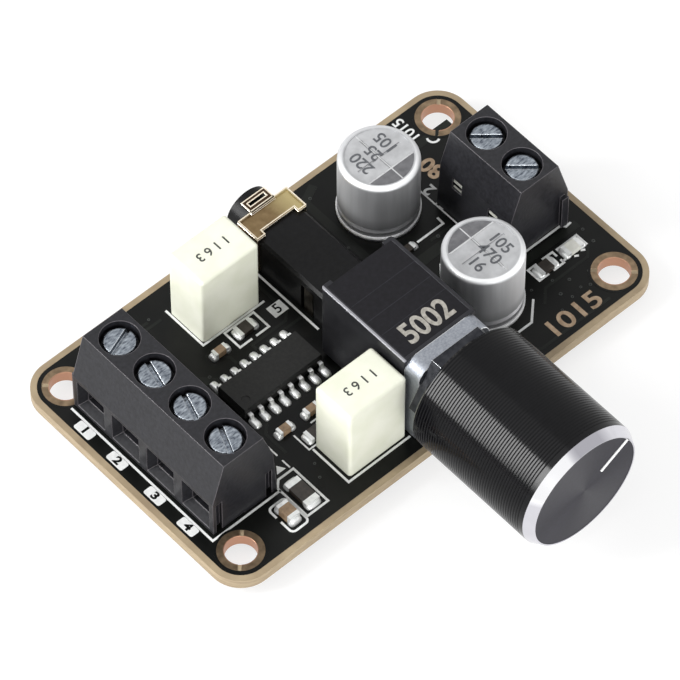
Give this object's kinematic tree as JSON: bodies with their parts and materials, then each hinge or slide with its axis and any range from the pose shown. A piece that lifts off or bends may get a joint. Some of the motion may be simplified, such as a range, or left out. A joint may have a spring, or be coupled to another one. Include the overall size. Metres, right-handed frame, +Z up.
{
  "type": "audio amplifier board",
  "caption": "Small stereo amplifier board with a turning volume knob, an audio socket, and screw terminals whose clamps rise as their screws turn.",
  "frame": {"origin": "centre of the board's underside, in the middle of its four fixing holes", "axes": "+X along the board from the speaker terminals to the power terminals, -Y out through the volume knob, +Z up through the components"},
  "size_m": [0.055, 0.0485, 0.0165],
  "materials": {
    "board_mask": "gloss black solder mask on glass laminate",
    "ring_copper": "bare copper, lightly gilt",
    "solder": "bright tin",
    "terminal_plastic": "satin moulded blue-black",
    "tinned_metal": "tinned",
    "screw_steel": "zinc plated",
    "chip_plastic": "moulded matte black",
    "film_case": "satin cream",
    "can_aluminium": "satin drawn aluminium",
    "bung_rubber": "matte",
    "socket_plastic": "gloss black",
    "gilt_contact": "gilt",
    "cast_plate": "cast, satin",
    "frame_steel": "bright plated sheet",
    "potentiometer_plastic": "satin black",
    "nut_steel": "nickel plated",
    "shaft_aluminium": "turned",
    "rotor_plastic": "natural",
    "knob_black": "black anodised, fine turned lines, bright bevel",
    "white_paint": "paint",
    "capacitor_ceramic": "ceramic",
    "resistor_body": "glazed black",
    "lamp_body": "white lamp"
  },
  "bodies": {
    "board": {"amplifier_chip": "chip_plastic", "amplifier_chip_leads": "tinned_metal", "audio_jack_body": "socket_plastic", "audio_jack_ring_spring": "gilt_contact", "audio_jack_sleeve_contact": "gilt_contact", "audio_jack_switch_spring": "gilt_contact", "audio_jack_tip_spring": "gilt_contact", "chip_capacitors": "capacitor_ceramic", "chip_capacitors_ends": "solder", "chip_resistors": "resistor_body", "chip_resistors_ends": "solder", "circuit_board": "board_mask", "electrolytic_front_bung": "bung_rubber", "electrolytic_front_can": "can_aluminium", "electrolytic_front_leads": "tinned_metal", "electrolytic_rear_bung": "bung_rubber", "electrolytic_rear_can": "can_aluminium", "electrolytic_rear_leads": "tinned_metal", "film_capacitor_front_case": "film_case", "film_capacitor_front_leads": "tinned_metal", "film_capacitor_rear_case": "film_case", "film_capacitor_rear_leads": "tinned_metal", "fixing_hole_rings": "ring_copper", "indicator_lamp": "lamp_body", "indicator_lamp_ends": "solder", "potentiometer_frame": "frame_steel", "potentiometer_front_housing": "potentiometer_plastic", "potentiometer_front_plate": "cast_plate", "potentiometer_leads": "tinned_metal", "potentiometer_nut": "nut_steel", "potentiometer_rear_housing": "potentiometer_plastic", "potentiometer_switch_housing": "potentiometer_plastic", "power_terminal_contacts": "tinned_metal", "power_terminal_housing": "terminal_plastic", "solder_joints": "solder", "speaker_terminal_contacts": "tinned_metal", "speaker_terminal_housing": "terminal_plastic"},
    "volume_knob": {"volume_shaft": "shaft_aluminium", "volume_front_rotor": "rotor_plastic", "volume_rear_rotor": "rotor_plastic", "knob_core": "rotor_plastic", "knob_shell": "knob_black", "knob_pointer": "white_paint"},
    "speaker_clamp_screw_1": {"speaker_clamp_screw_1": "screw_steel"},
    "speaker_clamp_cage_1": {"speaker_clamp_cage_1": "tinned_metal"},
    "speaker_clamp_screw_2": {"speaker_clamp_screw_2": "screw_steel"},
    "speaker_clamp_cage_2": {"speaker_clamp_cage_2": "tinned_metal"},
    "speaker_clamp_screw_3": {"speaker_clamp_screw_3": "screw_steel"},
    "speaker_clamp_cage_3": {"speaker_clamp_cage_3": "tinned_metal"},
    "speaker_clamp_screw_4": {"speaker_clamp_screw_4": "screw_steel"},
    "speaker_clamp_cage_4": {"speaker_clamp_cage_4": "tinned_metal"},
    "power_clamp_screw_1": {"power_clamp_screw_1": "screw_steel"},
    "power_clamp_cage_1": {"power_clamp_cage_1": "tinned_metal"},
    "power_clamp_screw_2": {"power_clamp_screw_2": "screw_steel"},
    "power_clamp_cage_2": {"power_clamp_cage_2": "tinned_metal"}
  },
  "joints": [
    {"name": "volume_turn", "type": "hinge", "parent": "board", "child": "volume_knob", "pos_m": [0.001, -0.0146, 0.0081], "axis": [0, 1, 0], "range_deg": [-208.6, 91.4]},
    {"name": "speaker_clamp_screw_1_turn", "type": "hinge", "parent": "board", "child": "speaker_clamp_screw_1", "pos_m": [-0.021, -0.00715, 0.0093], "axis": [0, 0, 1], "range_deg": [-1080, 0]},
    {"name": "speaker_clamp_cage_1_rise", "type": "slide", "parent": "board", "child": "speaker_clamp_cage_1", "axis": [0, 0, 1], "range_m": [0, 0.0015]},
    {"name": "speaker_clamp_screw_2_turn", "type": "hinge", "parent": "board", "child": "speaker_clamp_screw_2", "pos_m": [-0.021, -0.00215, 0.0093], "axis": [0, 0, 1], "range_deg": [-1080, 0]},
    {"name": "speaker_clamp_cage_2_rise", "type": "slide", "parent": "board", "child": "speaker_clamp_cage_2", "axis": [0, 0, 1], "range_m": [0, 0.0015]},
    {"name": "speaker_clamp_screw_3_turn", "type": "hinge", "parent": "board", "child": "speaker_clamp_screw_3", "pos_m": [-0.021, 0.00285, 0.0093], "axis": [0, 0, 1], "range_deg": [-1080, 0]},
    {"name": "speaker_clamp_cage_3_rise", "type": "slide", "parent": "board", "child": "speaker_clamp_cage_3", "axis": [0, 0, 1], "range_m": [0, 0.0015]},
    {"name": "speaker_clamp_screw_4_turn", "type": "hinge", "parent": "board", "child": "speaker_clamp_screw_4", "pos_m": [-0.021, 0.00785, 0.0093], "axis": [0, 0, 1], "range_deg": [-1080, 0]},
    {"name": "speaker_clamp_cage_4_rise", "type": "slide", "parent": "board", "child": "speaker_clamp_cage_4", "axis": [0, 0, 1], "range_m": [0, 0.0015]},
    {"name": "power_clamp_screw_1_turn", "type": "hinge", "parent": "board", "child": "power_clamp_screw_1", "pos_m": [0.021, -0.0025, 0.0093], "axis": [0, 0, 1], "range_deg": [-1080, 0]},
    {"name": "power_clamp_cage_1_rise", "type": "slide", "parent": "board", "child": "power_clamp_cage_1", "axis": [0, 0, 1], "range_m": [0, 0.0015]},
    {"name": "power_clamp_screw_2_turn", "type": "hinge", "parent": "board", "child": "power_clamp_screw_2", "pos_m": [0.021, 0.0025, 0.0093], "axis": [0, 0, 1], "range_deg": [-1080, 0]},
    {"name": "power_clamp_cage_2_rise", "type": "slide", "parent": "board", "child": "power_clamp_cage_2", "axis": [0, 0, 1], "range_m": [0, 0.0015]}
  ],
  "couplings": [
    {"joint": "speaker_clamp_screw_1_turn", "follows": "speaker_clamp_cage_1_rise", "rad_per_m": -12566},
    {"joint": "speaker_clamp_screw_2_turn", "follows": "speaker_clamp_cage_2_rise", "rad_per_m": -12566},
    {"joint": "speaker_clamp_screw_3_turn", "follows": "speaker_clamp_cage_3_rise", "rad_per_m": -12566},
    {"joint": "speaker_clamp_screw_4_turn", "follows": "speaker_clamp_cage_4_rise", "rad_per_m": -12566},
    {"joint": "power_clamp_screw_1_turn", "follows": "power_clamp_cage_1_rise", "rad_per_m": -12566},
    {"joint": "power_clamp_screw_2_turn", "follows": "power_clamp_cage_2_rise", "rad_per_m": -12566}
  ]
}
